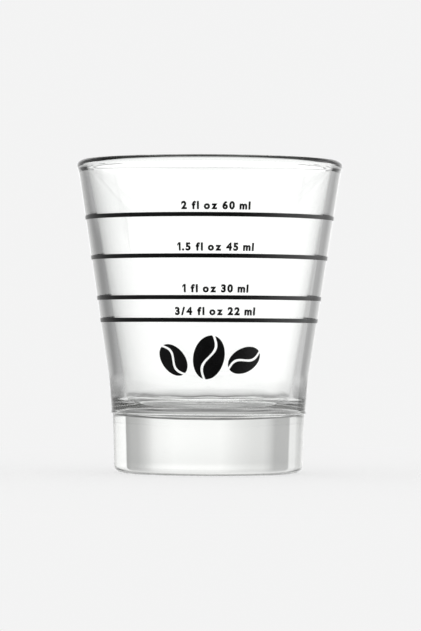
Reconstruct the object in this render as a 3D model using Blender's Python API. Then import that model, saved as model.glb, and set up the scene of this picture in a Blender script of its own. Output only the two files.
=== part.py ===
"""Espresso shot glass: a one-piece pressed glass with a black enamel print fired onto its front.

Units are metres, +Z is up. The origin is the centre of the circle that the foot stands on, and the
print faces -Y. The glass is turned from one profile; every island of enamel is an object of its own.
"""

import math

import bmesh
import bpy
from mathutils import Matrix, Vector

# Outer form of the glass
HEIGHT = 0.0700
RIM_RADIUS = 0.02985
WALL_TOP_Z = 0.0660
WALL_TOP_RADIUS = 0.02910
WALL_FOOT_Z = 0.0205
WALL_FOOT_RADIUS = 0.02227
HEEL_TOP_Z = 0.0222
HEEL_TURN_Z = 0.0203
HEEL_Z = 0.0170
HEEL_RADIUS = 0.02203
LEDGE_TOP_Z = 0.0136
LEDGE_TOP_RADIUS = 0.02182
LEDGE_FOOT_Z = 0.0123
LEDGE_FOOT_RADIUS = 0.02153
FOOT_RADIUS = 0.02120
FOOT_EDGE_RADIUS = 0.0017

# Inner form of the glass
LIP_RADIUS = 0.00112
WALL_THICKNESS_FLOOR = 0.00317
WALL_THINNING_STEADY = 0.00077
WALL_THINNING_LIP = 0.00033
WALL_THINNING_POWER = 6
CORNER_TOP_Z = 0.0175
FLOOR_EDGE_RADIUS = 0.0160
FLOOR_EDGE_Z = 0.0140
FLOOR_DISH = 0.0006

# Shallow hollow under the foot, inside the ring that the glass stands on
PUNT_RADIUS = 0.0172
PUNT_DEPTH = 0.0014

# Enamel print, drawn on the conical wall
PRINT_GAP = 0.00015
PRINT_FILM = 0.00015
LINE_WIDTH = 0.00094
LINE_HALF_SWEEP = math.radians(90)
CAP_SIZE = 0.00226
LETTER_BOLDNESS = 0.00012
LETTER_GAP = 0.00028
WORD_GAP = 0.00105
MEASURE_RISE = 0.00121
MEASURE_OFFSET = 0.0014
ONE_HEIGHT = 0.00170
ONE_STEM = 0.00042
ONE_FLAG = 0.00034
ONE_FLAG_DROP = 0.00042

# Volume in ml, height of its fill line, and the words printed above that line
MEASURES = (
    (60, 0.05707, "2 fl oz 60 ml"),
    (45, 0.04813, "1.5 fl oz 45 ml"),
    (30, 0.03909, "1 fl oz 30 ml"),
    (22, 0.03414, "3/4 fl oz 22 ml"),
)

# Beans of the emblem: name, centre along the wall from the front line, centre height, length, width, tilt
BEANS = (
    ("middle", 0.0, 0.0260, 0.0098, 0.0068, math.radians(-12)),
    ("left", -0.0079, 0.0254, 0.0078, 0.0054, math.radians(38)),
    ("right", 0.0079, 0.0254, 0.0078, 0.0054, math.radians(-62)),
)
CREASE_WIDTH = 0.00055
CREASE_SWAY = 0.15
BEAN_TIP_ANGLE = math.radians(82)

# Facets: round the glass, on curved stretches of its profile, on a letter's curves and along a bean
GLASS_STEPS = 64
CURVE_STEPS = 6
WALL_STEPS = 8
LETTER_STEPS = 2
BEAN_STEPS = 14
SHARP_ANGLE = math.radians(40)
MERGE_DISTANCE = 0.000001

WALL_SLOPE = (WALL_TOP_RADIUS - WALL_FOOT_RADIUS) / (WALL_TOP_Z - WALL_FOOT_Z)
WALL_LEAN = math.atan(WALL_SLOPE)
GLASS_CLEAR = (0.94, 0.96, 0.95, 1.0)
ENAMEL_BLACK = (0.012, 0.012, 0.013, 1.0)


def wall_radius(z):
    """Outer radius of the straight conical wall at height z."""
    return WALL_FOOT_RADIUS + (z - WALL_FOOT_Z) * WALL_SLOPE


def inner_radius(z):
    """Inner radius of the bowl: the wall thins steadily upwards, and faster near the lip."""
    rise = (z - CORNER_TOP_Z) / (WALL_TOP_Z - CORNER_TOP_Z)
    thinning = WALL_THINNING_STEADY * rise + WALL_THINNING_LIP * rise**WALL_THINNING_POWER
    return wall_radius(z) - WALL_THICKNESS_FLOOR + thinning


def steps(start, end, count):
    """Values from start to end in count equal steps, both ends included."""
    return [start + (end - start) * i / count for i in range(count + 1)]


def arc(centre, radius, start, end):
    """Points of a circular arc in the profile plane, as (radius, height)."""
    angles = steps(start, end, CURVE_STEPS)
    return [(centre[0] + radius * math.cos(a), centre[1] + radius * math.sin(a)) for a in angles]


def bend(first, control, last):
    """Points of a smooth bend that leaves first and reaches last along the lines to control."""
    first, control, last = Vector(first), Vector(control), Vector(last)
    return [(1 - t) ** 2 * first + 2 * t * (1 - t) * control + t * t * last for t in steps(0, 1, CURVE_STEPS)]


def glass_profile():
    """Half section as (radius, height), from the inner floor up over the lip and down the outside."""
    floor = [
        (r, FLOOR_EDGE_Z - FLOOR_DISH * (1 - (r / FLOOR_EDGE_RADIUS) ** 2))
        for r in steps(0, FLOOR_EDGE_RADIUS, CURVE_STEPS)
    ]

    # The floor's slope carries on until it meets the wall's inner line, where the corner turns up
    corner_top = (inner_radius(CORNER_TOP_Z), CORNER_TOP_Z)
    floor_slope = 2 * FLOOR_DISH / FLOOR_EDGE_RADIUS
    run = corner_top[0] - FLOOR_EDGE_RADIUS - WALL_SLOPE * (CORNER_TOP_Z - FLOOR_EDGE_Z)
    turn = (FLOOR_EDGE_RADIUS + run, FLOOR_EDGE_Z + floor_slope * run)
    corner = bend(floor[-1], turn, corner_top)

    lip_centre = (RIM_RADIUS - LIP_RADIUS, HEIGHT - LIP_RADIUS)
    lip = arc(lip_centre, LIP_RADIUS, math.pi, math.pi / 2) + arc(lip_centre, LIP_RADIUS, math.pi / 2, 0)[1:]
    bowl = [(inner_radius(z), z) for z in steps(CORNER_TOP_Z, WALL_TOP_Z, WALL_STEPS)]

    # The rim's bead sinks back into the wall below it
    bead_height = RIM_RADIUS - wall_radius(lip_centre[1])
    bead_fall = lip_centre[1] - WALL_TOP_Z
    bead = [
        (wall_radius(z) + bead_height * (1 - math.cos(math.pi * (z - WALL_TOP_Z) / bead_fall)) / 2, z)
        for z in steps(lip_centre[1], WALL_TOP_Z, CURVE_STEPS)
    ]

    # The cone eases into the foot, and the mould's parting ledge runs round the top of the foot
    heel = bend(
        (wall_radius(HEEL_TOP_Z), HEEL_TOP_Z),
        (wall_radius(HEEL_TURN_Z), HEEL_TURN_Z),
        (HEEL_RADIUS, HEEL_Z),
    )
    ledge = [(LEDGE_TOP_RADIUS, LEDGE_TOP_Z), (LEDGE_FOOT_RADIUS, LEDGE_FOOT_Z)]
    foot_edge = arc((FOOT_RADIUS - FOOT_EDGE_RADIUS, FOOT_EDGE_RADIUS), FOOT_EDGE_RADIUS, 0, -math.pi / 2)
    punt = [(r, PUNT_DEPTH * (1 - (r / PUNT_RADIUS) ** 2)) for r in steps(PUNT_RADIUS, 0, CURVE_STEPS)]

    return floor + corner[1:] + bowl[1:] + lip + bead[1:] + heel + ledge + foot_edge + punt


def on_wall(along, z, lift):
    """Point over the conical wall: along is the way round it from the front line, lift the height off it."""
    angle = along / wall_radius(z)
    radius = wall_radius(z) + lift * math.cos(WALL_LEAN)
    return Vector((radius * math.sin(angle), -radius * math.cos(angle), z - lift * math.sin(WALL_LEAN)))


def wall_frame(along, z, lift):
    """Placement on the wall, with X round it to the right, Y up it and Z straight out of it."""
    angle = along / wall_radius(z)
    turn = Matrix.Rotation(angle, 4, "Z") @ Matrix.Rotation(math.pi / 2 + WALL_LEAN, 4, "X")
    return Matrix.Translation(on_wall(along, z, lift)) @ turn


def make_material(name, colour, roughness, transmission=0.0):
    """Principled material of one colour; nothing on the glass is metal."""
    material = bpy.data.materials.new(name)
    material.use_nodes = True
    shader = material.node_tree.nodes["Principled BSDF"]
    shader.inputs["Base Color"].default_value = colour
    shader.inputs["Roughness"].default_value = roughness
    shader.inputs["Metallic"].default_value = 0.0
    shader.inputs["Transmission Weight"].default_value = transmission
    return material


def add_object(name, data, material):
    """New object in the scene with its material."""
    obj = bpy.data.objects.new(name, data)
    bpy.context.scene.collection.objects.link(obj)
    if not data.materials:
        data.materials.append(material)
    return obj


def solid_mesh(name, shape):
    """Mesh of a closed shape, with its faces out and its round sides shaded smooth."""
    bmesh.ops.recalc_face_normals(shape, faces=shape.faces)
    mesh = bpy.data.meshes.new(name)
    shape.to_mesh(mesh)
    shape.free()
    mesh.shade_smooth()
    mesh.set_sharp_from_angle(angle=SHARP_ANGLE)
    return mesh


def film_mesh(name, outline):
    """Enamel island: the outline, as (along, z) points, raised off the wall as a film of even thickness."""
    shape = bmesh.new()
    under = [shape.verts.new(on_wall(along, z, PRINT_GAP)) for along, z in outline]
    over = [shape.verts.new(on_wall(along, z, PRINT_GAP + PRINT_FILM)) for along, z in outline]
    shape.faces.new(over)
    shape.faces.new(under[::-1])
    for i in range(len(outline)):
        shape.faces.new((under[i - 1], under[i], over[i], over[i - 1]))
    return solid_mesh(name, shape)


def make_glass(material):
    """The glass body, turned from its half section."""
    profile = [Vector((radius, 0, z)) for radius, z in glass_profile()]
    mesh = bpy.data.meshes.new("glass_body")
    mesh.from_pydata(profile, [(i, i + 1) for i in range(len(profile) - 1)], [])
    glass = add_object("glass_body", mesh, material)
    turned = glass.modifiers.new("turned", "SCREW")
    turned.steps = turned.render_steps = GLASS_STEPS
    turned.use_merge_vertices = True
    turned.merge_threshold = MERGE_DISTANCE
    turned.use_smooth_shade = True


def make_fill_line(volume, z, material):
    """One fill line: a band half-way round the front, faceted in step with the glass behind it."""
    name = f"fill_line_{volume}_ml"
    count = round(GLASS_STEPS * LINE_HALF_SWEEP / math.pi)
    shape = bmesh.new()
    rings = []
    for angle in steps(-LINE_HALF_SWEEP, LINE_HALF_SWEEP, count):
        corners = ((-1, PRINT_GAP), (1, PRINT_GAP), (1, PRINT_GAP + PRINT_FILM), (-1, PRINT_GAP + PRINT_FILM))
        ring = []
        for side, lift in corners:
            edge_z = z + side * LINE_WIDTH / 2
            ring.append(shape.verts.new(on_wall(angle * wall_radius(edge_z), edge_z, lift)))
        rings.append(ring)
    for ring, following in zip(rings, rings[1:]):
        for i in range(4):
            shape.faces.new((ring[i - 1], ring[i], following[i], following[i - 1]))
    shape.faces.new(rings[0])
    shape.faces.new(rings[-1])
    add_object(name, solid_mesh(name, shape), material)


def figure_one(curve):
    """Draws the figure 1 as a stem with a flag, because the lettering's own 1 is a bare bar like its l."""
    half = ONE_STEM / 2
    flag_end = -half - ONE_FLAG
    flag_top = ONE_HEIGHT - ONE_FLAG_DROP
    outline = (
        (half, -LETTER_BOLDNESS),
        (half, ONE_HEIGHT),
        (0, ONE_HEIGHT),
        (flag_end, flag_top),
        (flag_end, flag_top - ONE_STEM),
        (-half, flag_top),
        (-half, -LETTER_BOLDNESS),
    )
    curve.dimensions = "2D"
    curve.fill_mode = "BOTH"
    spline = curve.splines.new("POLY")
    spline.points.add(len(outline) - 1)
    for point, (x, y) in zip(spline.points, outline):
        point.co = (x + ONE_FLAG / 2, y, 0, 1)
    spline.use_cyclic_u = True


def letter_curve(letter):
    """Raised outline of one letter or figure, shared by every place where it is printed."""
    name = f"letter_{letter}"
    if name in bpy.data.curves:
        return bpy.data.curves[name]
    if letter == "1":
        curve = bpy.data.curves.new(name, "CURVE")
        figure_one(curve)
    else:
        curve = bpy.data.curves.new(name, "FONT")
        curve.body = letter
        curve.align_x = "CENTER"
        curve.size = CAP_SIZE
        curve.offset = LETTER_BOLDNESS
    curve.extrude = PRINT_FILM / 2
    curve.resolution_u = LETTER_STEPS
    return curve


def make_measure(volume, line_z, words, material):
    """The words above one fill line, set letter by letter round the wall and centred as a row."""
    spoken = {".": "point", "/": "slash"}
    letters = []
    for place, letter in enumerate(words.replace(" ", ""), start=1):
        name = f"mark_{volume}_ml_{place}_{spoken.get(letter, letter)}"
        letters.append(add_object(name, letter_curve(letter), material))
    bpy.context.view_layer.update()

    width = -LETTER_GAP
    places = []
    letters_left = iter(letters)
    for letter in words:
        if letter == " ":
            width += WORD_GAP - LETTER_GAP
            continue
        breadth = next(letters_left).dimensions.x
        places.append(width + LETTER_GAP + breadth / 2)
        width += LETTER_GAP + breadth
    for obj, place in zip(letters, places):
        along = MEASURE_OFFSET + place - width / 2
        obj.matrix_world = wall_frame(along, line_z + MEASURE_RISE, PRINT_GAP + PRINT_FILM / 2)


def bean_half(side, along, z, length, width, tilt):
    """Outline of one half of a bean: its swelling edge and its side of the wavy crease."""
    edge = []
    crease = []
    for angle in steps(-BEAN_TIP_ANGLE, BEAN_TIP_ANGLE, BEAN_STEPS):
        up = length / 2 * math.sin(angle)
        edge.append((side * width / 2 * math.cos(angle), up))
        sway = CREASE_SWAY * width * math.sin(math.pi * math.sin(angle))
        crease.append((sway + side * CREASE_WIDTH / 2, up))
    cos, sin = math.cos(tilt), math.sin(tilt)
    return [(along + u * cos - v * sin, z + u * sin + v * cos) for u, v in edge + crease[::-1]]


for leftover in list(bpy.data.objects):
    bpy.data.objects.remove(leftover)

clear_glass = make_material("clear_glass", GLASS_CLEAR, roughness=0.02, transmission=1.0)
black_enamel = make_material("black_enamel", ENAMEL_BLACK, roughness=0.35)

make_glass(clear_glass)
for volume_ml, height, measure in MEASURES:
    make_fill_line(volume_ml, height, black_enamel)
    make_measure(volume_ml, height, measure, black_enamel)
for bean, *form in BEANS:
    for half, side in (("left", -1), ("right", 1)):
        island = f"bean_{bean}_{half}_half"
        add_object(island, film_mesh(island, bean_half(side, *form)), black_enamel)
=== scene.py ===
import math

import bpy
from mathutils import Matrix, Vector


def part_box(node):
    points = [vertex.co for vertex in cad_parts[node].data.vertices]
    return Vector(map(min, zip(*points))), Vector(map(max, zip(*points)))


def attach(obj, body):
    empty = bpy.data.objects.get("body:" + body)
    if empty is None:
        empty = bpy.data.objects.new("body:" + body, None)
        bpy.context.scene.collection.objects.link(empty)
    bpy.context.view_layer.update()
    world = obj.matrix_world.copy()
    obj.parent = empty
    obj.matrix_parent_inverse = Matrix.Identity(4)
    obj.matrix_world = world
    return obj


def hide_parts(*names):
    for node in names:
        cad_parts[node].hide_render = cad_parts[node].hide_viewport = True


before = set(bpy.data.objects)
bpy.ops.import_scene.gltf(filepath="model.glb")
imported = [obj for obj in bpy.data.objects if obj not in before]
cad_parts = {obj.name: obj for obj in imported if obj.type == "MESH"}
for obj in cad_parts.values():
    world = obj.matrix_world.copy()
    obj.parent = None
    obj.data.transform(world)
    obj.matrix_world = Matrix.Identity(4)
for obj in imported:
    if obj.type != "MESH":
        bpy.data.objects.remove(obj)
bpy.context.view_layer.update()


# Glass body
# The glass is one piece of clear soda-lime glass, pressed in a mould and fire-polished at its flared lip.
# Its bowl is a cone over a dished floor, and its foot is solid, with a thin bead at the mould's parting.
_, glass_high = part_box("glass_body")
glass_height = glass_high.z
rim_radius = glass_high.x
wall_top_z = 0.0660
wall_top_radius = 0.02919
wall_foot_z = 0.0205
wall_foot_radius = 0.02227
wall_slope = (wall_top_radius - wall_foot_radius) / (wall_top_z - wall_foot_z)
wall_lean = math.atan(wall_slope)
wall_heading = 90 - math.degrees(wall_lean)
floor_middle_z = 0.01220
bowl_corner_radius = 0.01862

# Half section, drawn from the floor's centre up over the lip, down the outside and back under the foot
# to its centre: radius, height, and the way the outline heads there in degrees (0 is outwards, 90 is up)
half_section = (
    (0.0, floor_middle_z, 0),
    (0.01000, 0.01265, 5),
    (0.01600, 0.01380, 14),
    (bowl_corner_radius, 0.01725, 80.6),
    (0.02442, 0.05200, 80.3),
    (0.02703, 0.06600, 79),
    (0.02728, 0.06720, 77),
    (0.02770, 0.06880, 74),
    (0.02840, 0.06978, 40),
    (0.02890, glass_height, 0),
    (0.02950, 0.06966, -45),
    (rim_radius, 0.06880, -90),
    (0.02972, 0.06820, -104),
    (0.02939, 0.06710, -101.5),
    (wall_top_radius, wall_top_z, wall_heading - 180),
    (0.022525, 0.02220, wall_heading - 180),
    (0.02203, 0.01700, -94.4),
    (0.02184, 0.01418, -92),
    (0.02187, 0.01400, -72),
    (0.02198, 0.01368, -74),
    (0.02200, 0.01358, -95),
    (0.02186, 0.01343, -130),
    (0.02166, 0.01330, -118),
    (0.02158, 0.01316, -91.7),
    (0.02120, 0.00170, -91.5),
    (0.01950, 0.0, 180),
    (0.01720, 0.0, 180),
    (0.0, 0.00140, 180),
)
handle_share = 0.36
section_resolution = 15
spin_steps = 240
merge_distance = 0.000001

bpy.ops.object.select_all(action="DESELECT")
bpy.ops.curve.primitive_bezier_curve_add(location=(0, 0, 0))
glass = bpy.context.object
glass.data.resolution_u = section_resolution
outline = glass.data.splines[0].bezier_points
outline.add(len(half_section) - len(outline))
for i, (radius, height, heading) in enumerate(half_section):
    point = outline[i]
    point.handle_left_type = point.handle_right_type = "FREE"
    point.co = (radius, 0, height)
    way = Vector((math.cos(math.radians(heading)), 0, math.sin(math.radians(heading))))
    before = half_section[max(i - 1, 0)]
    after = half_section[min(i + 1, len(half_section) - 1)]
    point.handle_left = point.co - way * handle_share * math.dist(before[:2], (radius, height))
    point.handle_right = point.co + way * handle_share * math.dist(after[:2], (radius, height))
bpy.ops.object.convert(target="MESH")
glass = bpy.context.object
glass.name = glass.data.name = "pressed_glass"
bpy.ops.object.mode_set(mode="EDIT")
bpy.ops.mesh.select_all(action="SELECT")
bpy.ops.mesh.spin(steps=spin_steps, angle=math.tau, center=(0, 0, 0), axis=(0, 0, 1))
bpy.ops.mesh.select_all(action="SELECT")
bpy.ops.mesh.remove_doubles(threshold=merge_distance)
bpy.ops.mesh.normals_make_consistent(inside=False)
bpy.ops.mesh.select_all(action="DESELECT")
bpy.ops.object.mode_set(mode="OBJECT")
bpy.ops.object.shade_smooth()

# The plunger chills the floor of the bowl and leaves it faintly rippled, up into the corner
ripple_depth = 0.00010
ripple_size = 0.0055
ripple_layers = 1
ripple_top = 0.0190
ripple_fade = 0.0035
corner_margin = 0.0004
floor_group = glass.vertex_groups.new(name="bowl_floor")
for vert in glass.data.vertices:
    above_floor = vert.co.z > floor_middle_z - merge_distance
    inside_corner = vert.co.xy.length < bowl_corner_radius + corner_margin
    fade = (ripple_top - vert.co.z) / ripple_fade
    if above_floor and inside_corner and fade > 0:
        floor_group.add([vert.index], min(fade, 1), "REPLACE")
ripple_noise = bpy.data.textures.new("chill_ripple", "CLOUDS")
ripple_noise.noise_scale = ripple_size
ripple_noise.noise_depth = ripple_layers
ripple = glass.modifiers.new("chill_ripple", "DISPLACE")
ripple.texture = ripple_noise
ripple.texture_coords = "LOCAL"
ripple.vertex_group = floor_group.name
ripple.strength = ripple_depth
bpy.ops.object.modifier_apply(modifier=ripple.name)

# Heat leaves both the glass and its enamel a little uneven: slow waves, fine grain and a drift in tone
wave_detail = 1.0
grain_detail = 3.0
grain_height = 0.15
tone_limits = 0.35, 0.65
grain_limits = 0.3, 0.7
fired_surface = bpy.data.node_groups.new("fired_surface", "ShaderNodeTree")
for given in ("Wave Scale", "Grain Scale"):
    fired_surface.interface.new_socket(given, in_out="INPUT", socket_type="NodeSocketFloat")
for result in ("Tone", "Grain", "Height"):
    fired_surface.interface.new_socket(result, in_out="OUTPUT", socket_type="NodeSocketFloat")
fired_in = fired_surface.nodes.new("NodeGroupInput")
fired_out = fired_surface.nodes.new("NodeGroupOutput")
fired_place = fired_surface.nodes.new("ShaderNodeTexCoord")


def work_out(tree, operation, *values):
    """Adds a Math node whose inputs are numbers or other nodes' outputs, and gives its output."""
    node = tree.nodes.new("ShaderNodeMath")
    node.operation = operation
    for socket, value in zip(node.inputs, values):
        if isinstance(value, (int, float)):
            socket.default_value = value
        else:
            tree.links.new(value, socket)
    return node.outputs["Value"]


def fired_noise(scale, detail):
    """Adds a noise to the fired surface, at one of the scales that it is given, and gives its output."""
    noise = fired_surface.nodes.new("ShaderNodeTexNoise")
    noise.inputs["Detail"].default_value = detail
    fired_surface.links.new(fired_place.outputs["Object"], noise.inputs["Vector"])
    fired_surface.links.new(fired_in.outputs[scale], noise.inputs["Scale"])
    return noise.outputs["Fac"]


fired_waves = fired_noise("Wave Scale", wave_detail)
fired_grain = fired_noise("Grain Scale", grain_detail)
fired_height = work_out(fired_surface, "MULTIPLY_ADD", fired_grain, grain_height, fired_waves)
fired_surface.links.new(fired_waves, fired_out.inputs["Tone"])
fired_surface.links.new(fired_grain, fired_out.inputs["Grain"])
fired_surface.links.new(fired_height, fired_out.inputs["Height"])


def fire_surface(material, wave_scale, grain_scale, colours, roughness, relief):
    """Places the fired surface in a material: two colours by its tone, and its waves and grain as bump.

    Gives the roughness by grain, which the material links itself.
    """
    nodes = material.node_tree.nodes
    links = material.node_tree.links
    shader = nodes["Principled BSDF"]
    surface = nodes.new("ShaderNodeGroup")
    surface.node_tree = fired_surface
    surface.inputs["Wave Scale"].default_value = wave_scale
    surface.inputs["Grain Scale"].default_value = grain_scale
    colour = nodes.new("ShaderNodeValToRGB")
    for stop, place, tint in zip(colour.color_ramp.elements, tone_limits, colours):
        stop.position = place
        stop.color = (*tint, 1)
    links.new(surface.outputs["Tone"], colour.inputs["Fac"])
    links.new(colour.outputs["Color"], shader.inputs["Base Color"])
    rough = nodes.new("ShaderNodeMapRange")
    rough.inputs["From Min"].default_value = grain_limits[0]
    rough.inputs["From Max"].default_value = grain_limits[1]
    rough.inputs["To Min"].default_value = roughness[0]
    rough.inputs["To Max"].default_value = roughness[1]
    links.new(surface.outputs["Grain"], rough.inputs["Value"])
    bump = nodes.new("ShaderNodeBump")
    bump.inputs["Distance"].default_value = relief
    links.new(surface.outputs["Height"], bump.inputs["Height"])
    links.new(bump.outputs["Normal"], shader.inputs["Normal"])
    return rough.outputs["Result"]


# The glass is smooth all over but for the ring that it stands on, which use has scuffed
glass_tints = (0.984, 0.992, 0.986), (0.994, 0.997, 0.993)
glass_wave_scale = 110
glass_grain_scale = 900
glass_relief = 0.000006
glass_ior = 1.52
depth_tint = 0.75, 0.755, 0.74, 1
depth_density = 20.0
scuff_roughness = 0.12, 0.35
scuff_fade = 0.00002, 0.00010
clear_glass = bpy.data.materials.new("clear_pressed_glass")
clear_glass.use_nodes = True
glass_tree = clear_glass.node_tree
glass_shader = glass_tree.nodes["Principled BSDF"]
scuff = fire_surface(
    clear_glass, glass_wave_scale, glass_grain_scale, glass_tints, scuff_roughness, glass_relief
)
glass_place = glass_tree.nodes.new("ShaderNodeTexCoord")
glass_parts = glass_tree.nodes.new("ShaderNodeSeparateXYZ")
glass_tree.links.new(glass_place.outputs["Object"], glass_parts.inputs["Vector"])
foot_ring = glass_tree.nodes.new("ShaderNodeMapRange")
foot_ring.inputs["From Min"].default_value = scuff_fade[0]
foot_ring.inputs["From Max"].default_value = scuff_fade[1]
foot_ring.inputs["To Min"].default_value = 1.0
foot_ring.inputs["To Max"].default_value = 0.0
glass_tree.links.new(glass_parts.outputs["Z"], foot_ring.inputs["Value"])
foot_scuff = work_out(glass_tree, "MULTIPLY", foot_ring.outputs["Result"], scuff)
glass_tree.links.new(foot_scuff, glass_shader.inputs["Roughness"])
glass_shader.inputs["IOR"].default_value = glass_ior
glass_shader.inputs["Transmission Weight"].default_value = 1.0
glass_depth = glass_tree.nodes.new("ShaderNodeVolumeAbsorption")
glass_depth.inputs["Color"].default_value = depth_tint
glass_depth.inputs["Density"].default_value = depth_density
glass_tree.links.new(glass_depth.outputs["Volume"], glass_tree.nodes["Material Output"].inputs["Volume"])
glass.data.materials.append(clear_glass)
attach(glass, "root")
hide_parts("glass_body")


# Fill lines
# Four bands of black ceramic enamel are screened half-way round the outside of the wall, one for each
# measure, and fired until they fuse with the glass. They are thin films with edges that run out flat.
line_heights = {60: 0.05707, 45: 0.04813, 30: 0.03909, 22: 0.03414}
line_width = 0.00094
film_thickness = 0.00008
line_section_points = 12
line_steps = 96
line_edge_angle = math.radians(60)

enamel_tints = (0.0018, 0.0018, 0.0020), (0.0042, 0.0042, 0.0046)
enamel_wave_scale = 450
enamel_grain_scale = 5000
enamel_roughness = 0.22, 0.40
enamel_relief = 0.000004
black_enamel = bpy.data.materials.new("black_fired_enamel")
black_enamel.use_nodes = True
enamel_shader = black_enamel.node_tree.nodes["Principled BSDF"]
satin = fire_surface(
    black_enamel, enamel_wave_scale, enamel_grain_scale, enamel_tints, enamel_roughness, enamel_relief
)
black_enamel.node_tree.links.new(satin, enamel_shader.inputs["Roughness"])


def wall_radius(height):
    """Outer radius of the conical wall at a height."""
    return wall_foot_radius + (height - wall_foot_z) * wall_slope


def print_on_glass(piece, node):
    """Makes a finished film of enamel stand for its node on the glass."""
    piece.name = piece.data.name = f"enamel_{node}"
    piece.data.materials.clear()
    piece.data.materials.append(black_enamel)
    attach(piece, "root")
    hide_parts(node)


# A circle one unit across is flattened to the film's section and swept round the front
for volume, line_z in line_heights.items():
    bpy.ops.object.select_all(action="DESELECT")
    bpy.ops.mesh.primitive_circle_add(
        vertices=line_section_points,
        radius=0.5,
        location=(-wall_radius(line_z), 0, line_z),
        rotation=(math.pi / 2, -wall_lean, 0),
    )
    line = bpy.context.object
    line.scale = (film_thickness, line_width, 1)
    bpy.ops.object.transform_apply()
    bpy.ops.object.mode_set(mode="EDIT")
    bpy.ops.mesh.select_all(action="SELECT")
    bpy.ops.mesh.spin(steps=line_steps, angle=-math.pi, center=(0, 0, 0), axis=(0, 0, 1))
    bpy.ops.mesh.select_all(action="SELECT")
    bpy.ops.mesh.remove_doubles(threshold=merge_distance)
    bpy.ops.mesh.fill_holes(sides=line_section_points)
    bpy.ops.mesh.select_all(action="SELECT")
    bpy.ops.mesh.normals_make_consistent(inside=False)
    bpy.ops.object.mode_set(mode="OBJECT")
    bpy.ops.object.shade_smooth_by_angle(angle=line_edge_angle)
    print_on_glass(line, f"fill_line_{volume}_ml")


# Measure marks
# The figures over each line give its volume. They belong to the same screen print as the lines, and each
# figure or letter is an island of enamel that follows the curve of the wall.
measures = {60: "2floz60ml", 45: "1.5floz45ml", 30: "1floz30ml", 22: "3/4floz22ml"}
sign_names = {".": "point", "/": "slash"}
cap_size = 0.00226
letter_boldness = 0.00012
letter_resolution = 6
one_height = 0.00182
one_stem = 0.00042
one_flag = 0.00034
one_flag_drop = 0.00042
wrap_step = 0.00025
island_edge_angle = math.radians(40)


def flat_one():
    """Draws the figure 1 as a flat stem with a slanting flag."""
    bpy.ops.mesh.primitive_plane_add(size=1, location=(0, 0, 0))
    stem = bpy.context.object
    stem.scale = (one_stem, one_height, 1)
    bpy.ops.object.transform_apply()
    bpy.ops.object.mode_set(mode="EDIT")
    bpy.ops.mesh.select_all(action="SELECT")
    bpy.ops.mesh.bisect(plane_co=(0, one_height / 2 - one_flag_drop, 0), plane_no=(0, 1, 0))
    bpy.ops.mesh.select_all(action="DESELECT")
    bpy.ops.object.mode_set(mode="OBJECT")
    for edge in stem.data.edges:
        ends = [stem.data.vertices[i].co for i in edge.vertices]
        edge.select = all(end.x < 0 and end.y > 0 for end in ends)
    bpy.ops.object.mode_set(mode="EDIT")
    bpy.ops.mesh.select_mode(type="EDGE")
    bpy.ops.mesh.extrude_region_move(TRANSFORM_OT_translate={"value": (-one_flag, -one_flag_drop, 0)})
    bpy.ops.mesh.select_mode(type="VERT")
    bpy.ops.object.mode_set(mode="OBJECT")


def flat_letter(letter):
    """Adds one letter or figure as a flat mesh, centred on the origin."""
    bpy.ops.object.select_all(action="DESELECT")
    if letter == "1":
        flat_one()
    else:
        bpy.ops.object.text_add(location=(0, 0, 0))
        lettering = bpy.context.object.data
        lettering.body = letter
        lettering.size = cap_size
        lettering.offset = letter_boldness
        lettering.resolution_u = letter_resolution
        bpy.ops.object.convert(target="MESH")
    flat = bpy.context.object
    xs = [vert.co.x for vert in flat.data.vertices]
    ys = [vert.co.y for vert in flat.data.vertices]
    centre = Vector(((min(xs) + max(xs)) / 2, (min(ys) + max(ys)) / 2, 0))
    flat.data.transform(Matrix.Translation(-centre))
    return flat


def lay_on_wall(piece, angle, height):
    """Cuts a flat piece into narrow strips, gives it the film's thickness and wraps it round the wall.

    Its X then runs round the glass, its Y up the wall and its Z straight out of it.
    """
    bpy.ops.object.mode_set(mode="EDIT")
    reach = piece.dimensions.x / 2
    cuts = max(1, round(2 * reach / wrap_step))
    for cut in range(1, cuts):
        bpy.ops.mesh.select_all(action="SELECT")
        bpy.ops.mesh.bisect(plane_co=(2 * reach * cut / cuts - reach, 0, 0), plane_no=(1, 0, 0))
    bpy.ops.mesh.select_all(action="SELECT")
    bpy.ops.mesh.remove_doubles(threshold=merge_distance)
    bpy.ops.object.mode_set(mode="OBJECT")
    film = piece.modifiers.new("film", "SOLIDIFY")
    film.thickness = film_thickness
    film.offset = 0
    bpy.ops.object.modifier_apply(modifier=film.name)
    for vert in piece.data.vertices:
        along, up, lift = vert.co
        z = height + up * math.cos(wall_lean)
        turn = angle + along / wall_radius(height)
        radius = wall_radius(z) + lift * math.cos(wall_lean)
        vert.co = (radius * math.sin(turn), -radius * math.cos(turn), z - lift * math.sin(wall_lean))
    bpy.ops.object.mode_set(mode="EDIT")
    bpy.ops.mesh.select_all(action="SELECT")
    bpy.ops.mesh.normals_make_consistent(inside=False)
    bpy.ops.object.mode_set(mode="OBJECT")
    bpy.ops.object.shade_smooth_by_angle(angle=island_edge_angle)


for volume, letters in measures.items():
    for place, letter in enumerate(letters, start=1):
        node = f"mark_{volume}_ml_{place}_{sign_names.get(letter, letter)}"
        mark_low, mark_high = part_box(node)
        middle = (mark_low + mark_high) / 2
        mark = flat_letter(letter)
        lay_on_wall(mark, math.atan2(middle.x, -middle.y), middle.z)
        print_on_glass(mark, node)


# Coffee beans
# Three plain coffee beans stand in the print below the lines. Each bean is two islands of enamel with a
# bare, wavy crease between them, screened and fired with the rest.

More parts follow.
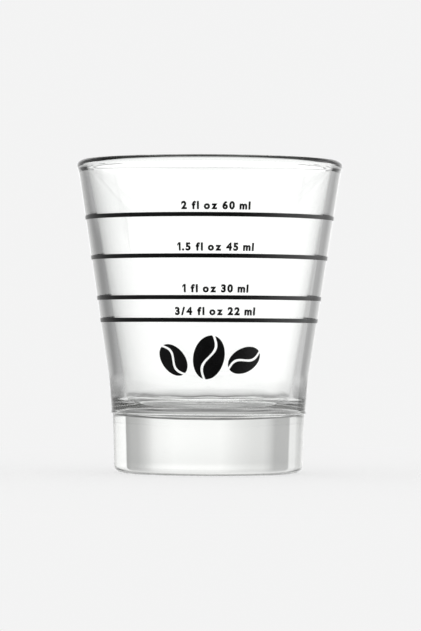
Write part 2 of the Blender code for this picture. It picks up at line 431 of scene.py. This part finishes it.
# For each bean: place along the wall from the middle, height, length, width and tilt
beans = {
    "middle": (0.0, 0.0260, 0.0098, 0.0068, math.radians(-12)),
    "left": (-0.0079, 0.0254, 0.0078, 0.0054, math.radians(38)),
    "right": (0.0079, 0.0254, 0.0078, 0.0054, math.radians(-62)),
}
crease_width = 0.00055
crease_sway = 0.15
bean_tip_angle = math.radians(82)
bean_grid = (12, 32)

# A square grid one unit wide is drawn out from the crease to the bean's edge, and from tip to tip
for bean, (along, bean_z, length, width, tilt) in beans.items():
    for half, side in (("left", -1), ("right", 1)):
        bpy.ops.object.select_all(action="DESELECT")
        bpy.ops.mesh.primitive_grid_add(
            x_subdivisions=bean_grid[0], y_subdivisions=bean_grid[1], size=1, location=(0, 0, 0)
        )
        island = bpy.context.object
        for vert in island.data.vertices:
            share_out = vert.co.x + 0.5
            angle = 2 * vert.co.y * bean_tip_angle
            crease = crease_sway * width * math.sin(math.pi * math.sin(angle)) + side * crease_width / 2
            edge = side * width / 2 * math.cos(angle)
            vert.co = (crease + (edge - crease) * share_out, length / 2 * math.sin(angle), 0)
        island.data.transform(Matrix.Rotation(tilt, 4, "Z"))
        island.data.update()
        bpy.context.view_layer.update()
        lay_on_wall(island, along / wall_radius(bean_z), bean_z)
        print_on_glass(island, f"bean_{bean}_{half}_half")


# Floor
# A plain pale sheet of lit acrylic lies under the glass. It glows for the camera with most of the backdrop's
# tone and takes the rest from the tent, so the glass throws only a faint shadow on it. Rays that came through
# the glass go on through the sheet to the tent, dimmed by a painted shade behind the glass and under its
# foot.
backdrop_tone = 0.90
glow_share = 0.7
lit_tone = backdrop_tone * (1 - glow_share)
floor_radius = 0.2
floor_sides = 128
floor_drop = 0.00005

# Strength of the painted shade by metres: out from the glass's axis, back from it, and to either side
shade_under_foot = (
    (0.0, 0.45), (0.006, 0.46), (0.01, 0.6), (0.014, 0.58), (0.0198, 0.46), (0.0202, 0.0),
)
shade_by_depth = (
    (0.031, 0), (0.0345, 0.6), (0.038, 0.72), (0.05, 0.75), (0.054, 0.66), (0.059, 0.53), (0.064, 0.42),
    (0.078, 0.26), (0.097, 0.18), (0.132, 0.1), (0.19, 0),
)
shade_by_width = ((0.040, 1.0), (0.075, 0.0))


def tone_curve(tree, place, tones):
    """Adds a curve of tones over a length or an angle, from pairs of place and tone, and gives its output."""
    first = tones[0][0]
    span = tones[-1][0] - first
    full = max(tone for _, tone in tones)
    ramp = tree.nodes.new("ShaderNodeValToRGB")
    share = work_out(tree, "DIVIDE", work_out(tree, "SUBTRACT", place, first), span)
    tree.links.new(share, ramp.inputs["Fac"])
    stops = ramp.color_ramp.elements
    while len(stops) < len(tones):
        stops.new(1.0)
    for stop, (where, tone) in zip(stops, tones):
        stop.position = (where - first) / span
        stop.color = (tone / full, tone / full, tone / full, 1)
    return work_out(tree, "MULTIPLY", ramp.outputs["Color"], full)


bpy.ops.object.select_all(action="DESELECT")
bpy.ops.mesh.primitive_circle_add(
    vertices=floor_sides, radius=floor_radius, fill_type="NGON", location=(0, 0, -floor_drop)
)
bpy.ops.object.transform_apply()
floor = bpy.context.object
floor.name = "pale_floor"
floor_paint = bpy.data.materials.new("pale_floor")
floor_paint.use_nodes = True
floor_tree = floor_paint.node_tree
floor_shader = floor_tree.nodes["Principled BSDF"]
floor_shader.inputs["Base Color"].default_value = (lit_tone, lit_tone, lit_tone, 1)
floor_shader.inputs["Roughness"].default_value = 1.0
floor_shader.inputs["Specular IOR Level"].default_value = 0.0
floor_shader.inputs["Emission Color"].default_value = (backdrop_tone, backdrop_tone, backdrop_tone, 1)
floor_ray = floor_tree.nodes.new("ShaderNodeLightPath")
floor_glow = work_out(floor_tree, "MULTIPLY", floor_ray.outputs["Is Camera Ray"], glow_share)
floor_tree.links.new(floor_glow, floor_shader.inputs["Emission Strength"])
floor_place = floor_tree.nodes.new("ShaderNodeTexCoord")
floor_parts = floor_tree.nodes.new("ShaderNodeSeparateXYZ")
floor_tree.links.new(floor_place.outputs["Object"], floor_parts.inputs["Vector"])
floor_x = floor_parts.outputs["X"]
floor_y = floor_parts.outputs["Y"]
depth_shade = tone_curve(floor_tree, floor_y, shade_by_depth)
width_shade = tone_curve(floor_tree, work_out(floor_tree, "ABSOLUTE", floor_x), shade_by_width)
back_shade = work_out(floor_tree, "MULTIPLY", depth_shade, width_shade)
squared_x = work_out(floor_tree, "MULTIPLY", floor_x, floor_x)
squared_y = work_out(floor_tree, "MULTIPLY", floor_y, floor_y)
from_axis = work_out(floor_tree, "SQRT", work_out(floor_tree, "ADD", squared_x, squared_y))
foot_shade = tone_curve(floor_tree, from_axis, shade_under_foot)
floor_shade = work_out(floor_tree, "MAXIMUM", back_shade, foot_shade)
# Rays through the glass see the sheet clear but for the painted shade, which stands for the glass's shadow
floor_clear = floor_tree.nodes.new("ShaderNodeBsdfTransparent")
floor_tree.links.new(work_out(floor_tree, "SUBTRACT", 1, floor_shade), floor_clear.inputs["Color"])
floor_mix = floor_tree.nodes.new("ShaderNodeMixShader")
floor_tree.links.new(floor_ray.outputs["Is Transmission Ray"], floor_mix.inputs["Fac"])
floor_tree.links.new(floor_shader.outputs["BSDF"], floor_mix.inputs[1])
floor_tree.links.new(floor_clear.outputs["BSDF"], floor_mix.inputs[2])
floor_tree.links.new(floor_mix.outputs["Shader"], floor_tree.nodes["Material Output"].inputs["Surface"])
floor.data.materials.append(floor_paint)
floor.visible_glossy = False


# Black flags
# Two small black cards stand behind the ends of the rim, as a photographer of glassware sets them to draw a
# clear rim dark against a pale ground. They belong to the studio and are seen only through the glass.
flag_width = 0.0265
flag_height = 0.0120
flag_aside = 0.04875
flag_behind = 0.032
flag_middle_z = 0.0719
flag_tilt = math.radians(6)
flag_paint = bpy.data.materials.new("black_flag")
flag_paint.use_nodes = True
flag_shader = flag_paint.node_tree.nodes["Principled BSDF"]
flag_shader.inputs["Base Color"].default_value = (0.0, 0.0, 0.0, 1)
flag_shader.inputs["Specular IOR Level"].default_value = 0.0
for end, side in (("left", -1), ("right", 1)):
    bpy.ops.object.select_all(action="DESELECT")
    bpy.ops.mesh.primitive_plane_add(
        size=1,
        location=(side * flag_aside, flag_behind, flag_middle_z),
        rotation=(math.pi / 2, side * flag_tilt, 0),
    )
    flag = bpy.context.object
    flag.name = f"black_flag_{end}"
    flag.scale = (flag_width, flag_height, 1)
    bpy.ops.object.transform_apply()
    flag.data.materials.append(flag_paint)
    flag.visible_camera = False
    flag.visible_diffuse = False
    flag.visible_glossy = False
    flag.visible_shadow = False


# Studio light
# The glass stands in an open white tent, whose even surround lights the floor and the print. Its bright back,
# grey corners and dark open sides show through the glass. Rays reflected inside the glass see a dimmer tent,
# and those caught in the rim an almost black one. What the outside mirrors has tones of its own.

# Tones by angle in degrees: turn runs from the back to the right, rise from the horizon upwards
back_by_rise = (
    (-90, 1.0), (-4, 1.1), (-1, 1.14), (0, 1.2), (1, 1.32), (3, 1.32), (5, 1.2), (25, 1.1), (30, 0.75),
    (35, 0.5), (45, 0.45), (55, 0.25), (65, 0.2), (90, 0.2),
)
mirrored_by_turn = (
    (-180, 0.06), (-130, 0.15), (-68, 0.2), (-52, 0.33), (-40, 0.33), (-30, 0.48), (-22, 0.72),
    (-10, 1.05), (14, 1.1), (35, 0.5), (47, 0.5), (50, 1.2), (104, 1.1), (117, 0.6), (136, 0.17),
    (160, 0.06), (180, 0.06),
)
inner_by_rise = (
    (-90, 0.6), (-78, 0.6), (-70, 0.7), (-58, 0.85), (-49, 0.75), (-42, 0.4), (-36, 0.3), (-33, 0.38),
    (-28, 0.9), (-24, 1), (-21, 0.8), (-18, 0.72), (-12, 0.74), (-9, 0.7), (-7, 0.75), (-5, 0.95),
    (-3, 1.05), (7, 1.1), (10, 1.5), (16, 1.5), (20, 0.9), (28, 0.5), (40, 0.45), (60, 0.6), (90, 0.6),
)

# Shades by angle, from none at 0 to black at 1
corner_by_turn = (
    (-90, 0.4), (-77, 0.35), (-70, 0.5), (-66, 0.5), (-59, 0.4), (-47.5, 0.32), (-46, 0.72), (-33, 0.68),
    (-29, 0.5), (-25, 0.36), (-19, 0.3), (-15, 0.23), (-11, 0.16), (-5, 0.02), (14, 0.0), (18, 0.05),
    (22, 0.1), (25, 0.18), (28, 0.34), (31, 0.46), (36, 0.6), (43, 0.65), (48, 0.74), (49.5, 0.0),
    (69, 0.0), (74, 0.35), (80, 0.6), (90, 0.5),
)
corner_by_rise = (
    (-90, 0.0), (-14, 0.0), (-9, 0.5), (-6, 0.85), (-4.5, 0.85), (-1.5, 0.82), (0.5, 0.88), (3, 0.88),
    (12, 0.76), (18, 0.6), (25, 0.2), (30, 0.0), (90, 0.0),
)
open_side_by_turn = (
    (-180, 0.0), (-126, 0.0), (-120, 0.85), (-102, 0.85), (-97, 0.0), (97, 0.0), (102, 0.85), (120, 0.85),
    (126, 0.0), (180, 0.0),
)
wall_by_turn = (
    (-180, 0), (-90, 0.3), (-60, 0.45), (-46, 0.66), (-27, 0.7), (-21, 0.6), (-13, 0.53), (-8, 0.5),
    (-3, 0.42), (0, 0.4), (3, 0.42), (8, 0.52), (11, 0.56), (20, 0.55), (25, 0.62), (31, 0.55),
    (39, 0.44), (47, 0.38), (60, 0.3), (90, 0.2), (180, 0),
)
wall_by_rise = (
    (-90, 0), (-17, 0), (-15, 0.3), (-11, 0.3), (-8, 0.6), (-6, 1), (0, 1), (3, 0.8), (8, 0), (90, 0),
)
trapped_by_rise = ((-90, 0.9), (12, 0.9), (24, 0.5), (90, 0.5))
repeat_loss = 0.12

# Counts of bounces past which a ray was reflected at all, more than once, or so often that it is caught
any_bounce = 0.5
repeated_bounce = 1.5
trapped_bounce = 5.5

world = bpy.data.worlds.new("light_tent")
bpy.context.scene.world = world
world.use_nodes = True
world.cycles.sampling_method = "NONE"
tent = world.node_tree
ray = tent.nodes.new("ShaderNodeLightPath")
ray_way = tent.nodes.new("ShaderNodeTexCoord")
ray_parts = tent.nodes.new("ShaderNodeSeparateXYZ")
tent.links.new(ray_way.outputs["Generated"], ray_parts.inputs["Vector"])


def tent_choice(choice, chosen, other):
    """Gives one tone where a ray is of a kind, and another where it isn't."""
    taken = work_out(tent, "MULTIPLY", choice, chosen)
    left = work_out(tent, "MULTIPLY", work_out(tent, "SUBTRACT", 1, choice), other)
    return work_out(tent, "ADD", taken, left)


def tent_shade(tone, *strengths):
    """Dims a tone by a shade whose strength is the product of the given ones."""
    strength = strengths[0]
    for factor in strengths[1:]:
        strength = work_out(tent, "MULTIPLY", strength, factor)
    return work_out(tent, "MULTIPLY", tone, work_out(tent, "SUBTRACT", 1, strength))


ray_x = ray_parts.outputs["X"]
ray_y = ray_parts.outputs["Y"]
ray_z = ray_parts.outputs["Z"]
rise = work_out(tent, "DEGREES", work_out(tent, "ARCSINE", ray_z))
full_turn = work_out(tent, "DEGREES", work_out(tent, "ARCTAN2", ray_x, ray_y))
folded_y = work_out(tent, "ABSOLUTE", ray_y)
folded_turn = work_out(tent, "DEGREES", work_out(tent, "ARCTAN2", ray_x, folded_y))
scattered_ray = work_out(tent, "GREATER_THAN", ray.outputs["Diffuse Depth"], any_bounce)
inner_ray = work_out(tent, "GREATER_THAN", ray.outputs["Glossy Depth"], any_bounce)
repeated_ray = work_out(tent, "GREATER_THAN", ray.outputs["Glossy Depth"], repeated_bounce)
trapped_ray = work_out(tent, "GREATER_THAN", ray.outputs["Glossy Depth"], trapped_bounce)

back_tone = tone_curve(tent, rise, back_by_rise)
corner_turn = tone_curve(tent, folded_turn, corner_by_turn)
corner_rise = tone_curve(tent, rise, corner_by_rise)
through_tone = tent_shade(back_tone, corner_turn, corner_rise)
through_tone = tent_shade(through_tone, tone_curve(tent, full_turn, open_side_by_turn))
wall_turn = tone_curve(tent, full_turn, wall_by_turn)
wall_rise = tone_curve(tent, rise, wall_by_rise)
inner_tone = tent_shade(tone_curve(tent, rise, inner_by_rise), wall_turn, wall_rise)
inner_tone = tent_shade(inner_tone, repeated_ray, repeat_loss)
inner_tone = tent_shade(inner_tone, trapped_ray, tone_curve(tent, rise, trapped_by_rise))
mirror_tone = work_out(tent, "MULTIPLY", tone_curve(tent, full_turn, mirrored_by_turn), back_tone)
through_tone = tent_choice(inner_ray, inner_tone, through_tone)
tone = tent_choice(ray.outputs["Is Glossy Ray"], mirror_tone, 1.0)
tone = tent_choice(ray.outputs["Is Transmission Ray"], through_tone, tone)
tone = tent_choice(scattered_ray, 1.0, tone)
tone = tent_choice(ray.outputs["Is Camera Ray"], backdrop_tone, tone)
tent.links.new(tone, tent.nodes["Background"].inputs["Color"])


# Camera
# It stands in front of the glass at the photograph's place, level with the lower half of the bowl, and
# looks a hair upwards. Light may bounce often enough to leave the thick foot and rim again.
frame_width = 421
frame_height = 631
focal_pixels = 3500
camera_distance = 0.786
eye_height = 0.0287
horizon_row = 345
axis_column = 209
roll = math.radians(0.3)
sensor_size = 36
near_limit = 0.05
light_bounces = 32
camera_data = bpy.data.cameras.new("camera")
camera_data.sensor_width = sensor_size
camera_data.lens = focal_pixels / frame_height * sensor_size
camera_data.clip_start = near_limit
camera = bpy.data.objects.new("camera", camera_data)
bpy.context.scene.collection.objects.link(camera)
tilt = math.atan((horizon_row - frame_height / 2) / focal_pixels)
pan = math.atan((frame_width / 2 - axis_column) / focal_pixels)
camera.matrix_world = (
    Matrix.Translation((0, -camera_distance, eye_height))
    @ Matrix.Rotation(-pan, 4, "Z")
    @ Matrix.Rotation(math.pi / 2 + tilt, 4, "X")
    @ Matrix.Rotation(roll, 4, "Z")
)
bpy.context.scene.camera = camera
bpy.context.scene.view_settings.view_transform = "Standard"
bpy.context.scene.cycles.max_bounces = light_bounces
bpy.context.scene.cycles.glossy_bounces = light_bounces
bpy.context.scene.cycles.transmission_bounces = light_bounces
